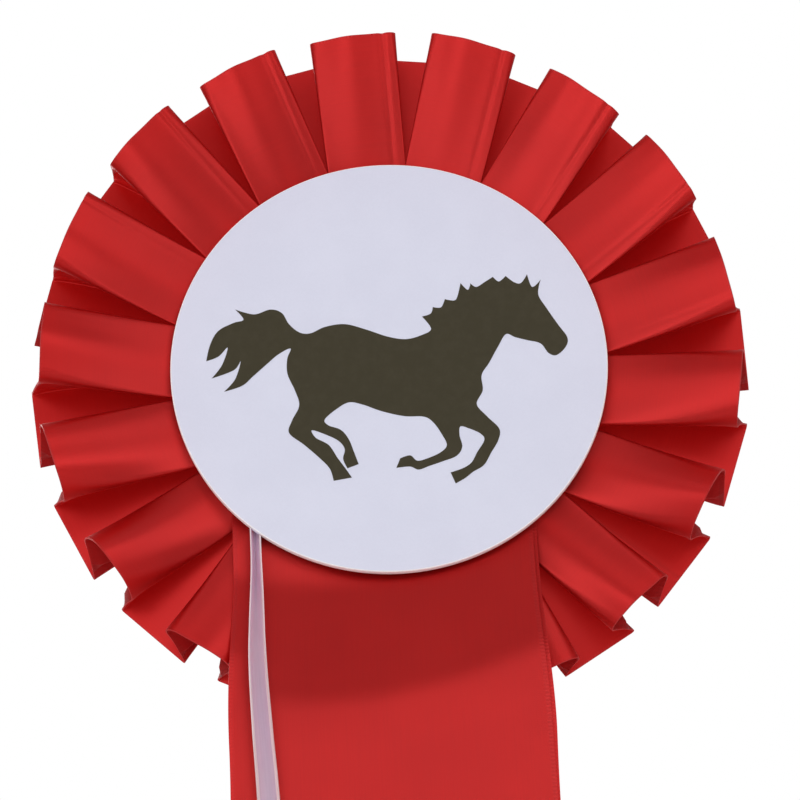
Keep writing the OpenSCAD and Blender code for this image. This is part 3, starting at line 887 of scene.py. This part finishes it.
# the printed horse leans forward a little, and is moved down by this many millimetres
horse_turn = math.radians(-0.9)
horse_drop = 0.75
ink_top = card_front + 0.06 * MM
ink_bottom = card_front - 0.01 * MM


def slope(before, point, after):
    """How steeply the outline passes a point: not at all at a tip, so that it breaks there."""
    if tip in point:
        return 0, 0
    return (after[0] - before[0]) / 2, (after[1] - before[1]) / 2


def horse_line():
    """The outline as a fine closed line: smooth between tips, and broken at them."""
    total = len(horse_outline)
    line = []
    for i in range(total):
        a, b, c, d = (horse_outline[(i + j) % total] for j in (-1, 0, 1, 2))
        b_slope, c_slope = slope(a, b, c), slope(b, c, d)
        for t in np.linspace(0, 1, 8, endpoint=False):
            weights = (2 * t ** 3 - 3 * t ** 2 + 1, t ** 3 - 2 * t ** 2 + t,
                       3 * t ** 2 - 2 * t ** 3, t ** 3 - t ** 2)
            x, y = (weights[0] * b[n] + weights[1] * b_slope[n]
                    + weights[2] * c[n] + weights[3] * c_slope[n] for n in (0, 1))
            line.append((x * math.cos(horse_turn) - y * math.sin(horse_turn),
                         x * math.sin(horse_turn) + y * math.cos(horse_turn) - horse_drop))
    return line


def horse_print(ink):
    """The print as a thin raised layer of ink."""
    line = horse_line()
    bm = bmesh.new()
    upper = [bm.verts.new(on_card(x * MM, ink_top, y * MM)) for x, y in line]
    lower = [bm.verts.new(on_card(x * MM, ink_bottom, y * MM)) for x, y in line]
    for a, b, c in tessellate_polygon([[Vector((x, y, 0)) for x, y in line]]):
        bm.faces.new((upper[a], upper[b], upper[c]))
        bm.faces.new((lower[c], lower[b], lower[a]))
    for i in range(len(line)):
        j = (i + 1) % len(line)
        bm.faces.new((upper[i], upper[j], lower[j], lower[i]))
    bmesh.ops.recalc_face_normals(bm, faces=bm.faces)
    mesh = bpy.data.meshes.new("running_horse")
    bm.to_mesh(mesh)
    bm.free()
    mesh.materials.append(ink)
    piece = link("running_horse", mesh)
    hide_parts("horse_print")
    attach(piece, "rosette")


# ---------------------------------------------------------------- pads and carried-over parts

pad_soften_rounds = 4
# how uneven the pads' sides are, as a share of their bulge, and how fine
pad_unevenness = 0.25
pad_grain = 900


def soft_pad(name, node, material, voxel, bulge):
    """A foam pad from its CAD node's shape, with rounded edges and sides that swell a little."""
    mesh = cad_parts[node].data.copy()
    mesh.materials.clear()
    mesh.materials.append(material)
    piece = link(name, mesh)
    remesh = piece.modifiers.new("remesh", "REMESH")
    remesh.mode = "VOXEL"
    remesh.voxel_size = voxel
    soften = piece.modifiers.new("soften", "SMOOTH")
    soften.iterations = pad_soften_rounds
    piece = finished(piece, 80)
    low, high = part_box(node)
    middle = (low + high) / 2
    half = (high.y - low.y) / 2
    for vertex in piece.data.vertices:
        outward = Vector((vertex.co.x - middle.x, 0, vertex.co.z - middle.z)).normalized()
        level = (vertex.co.y - middle.y) / half
        rough = noise.noise(vertex.co * pad_grain) * pad_unevenness
        vertex.co += outward * bulge * (1 - level ** 2 + rough)
    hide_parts(node)
    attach(piece, "rosette")


def dress(material, *nodes):
    """Gives the CAD nodes that stay in view their material."""
    for node in nodes:
        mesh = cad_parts[node].data
        mesh.materials.clear()
        mesh.materials.append(material)


# ---------------------------------------------------------------- the scene

add_camera()
narrow_ribbon(satin("lilac_satin", face=(0.7, 0.52, 0.76), shade=(0.56, 0.39, 0.64),
                    edge=(0.95, 0.75, 0.84), width=narrow_width, metallic=0.1, roughness=0.4,
                    edge_width=0.6 * MM, glow=(1, 0.9, 1)))

red = {"face": (0.62, 0.0092, 0.0082), "shade": (0.54, 0.0062, 0.0062), "edge": (0.54, 0.01, 0.01)}
tail_face = satin("tail_satin", **red, width=tail_width)
ruffle_face = satin("ruffle_satin", **red, width=ruffle_width, edge_width=0.4 * MM)
satin_back = satin("satin_back", face=(0.4, 0.014, 0.014), shade=(0.32, 0.01, 0.01),
                   edge=(0.32, 0.012, 0.012), width=ruffle_width, metallic=0.3, roughness=0.6,
                   specular=0.06)
tails(tail_face, satin_back)
ruffle(ruffle_face, satin_back)

# the card's face carries a painted shadow line along its upper rim
card_face = card_paper("card_face", face=(0.68, 0.69, 0.82), fibre=(0.65, 0.66, 0.79),
                       rim_shadow_colour=(0.5, 0.46, 0.62), rim_radius=card_radius)
centre_card(card_face, board("card_cut_edge", colour=(0.98, 0.98, 1.0), fleck=(0.9, 0.9, 0.94)))
horse_print(printed_ink("horse_ink", colour=(0.036, 0.029, 0.012), thin=(0.042, 0.034, 0.016)))

# both foams darken their cell hollows with painted shade
grey_foam = foam("grey_foam", colour=(0.7, 0.69, 0.67), pit_shade=(0.42, 0.41, 0.4))
soft_pad("spacer_pad", "foam_pad", grey_foam, voxel=0.5 * MM, bulge=0.35 * MM)
white_foam = foam("white_foam", colour=(0.8, 0.8, 0.78), pit_shade=(0.6, 0.6, 0.58))
soft_pad("pin_tape", "pin_adhesive_pad", white_foam, voxel=0.2 * MM, bulge=0.1 * MM)

dress(board("grey_board", colour=(0.42, 0.4, 0.36), fleck=(0.25, 0.22, 0.2)), "base_card")
dress(board("white_board", colour=(0.78, 0.77, 0.74), fleck=(0.66, 0.64, 0.6), fleck_scale=500.0),
      "back_card")
dress(metal("steel_wire", colour=(0.6, 0.6, 0.6), tarnish=(0.42, 0.41, 0.4), roughness=0.3,
            brush=(60, 4000, 60)), "ruffle_staples", "tail_staples")
dress(metal("nickel_steel", colour=(0.66, 0.65, 0.62), tarnish=(0.5, 0.48, 0.44), roughness=0.24,
            brush=(60, 3000, 3000)), "pin_base", "pin_hinge_rivet", "pin_wire")
dress(metal("catch_brass", colour=(0.72, 0.6, 0.36), tarnish=(0.5, 0.4, 0.24), roughness=0.3,
            brush=(3000, 200, 200)), "catch_roller")
dress(thread("red_thread", colour=(0.42, 0.02, 0.02), shade=(0.2, 0.01, 0.01)), "pleat_stitching")

add_lights()
add_world()
add_floor()
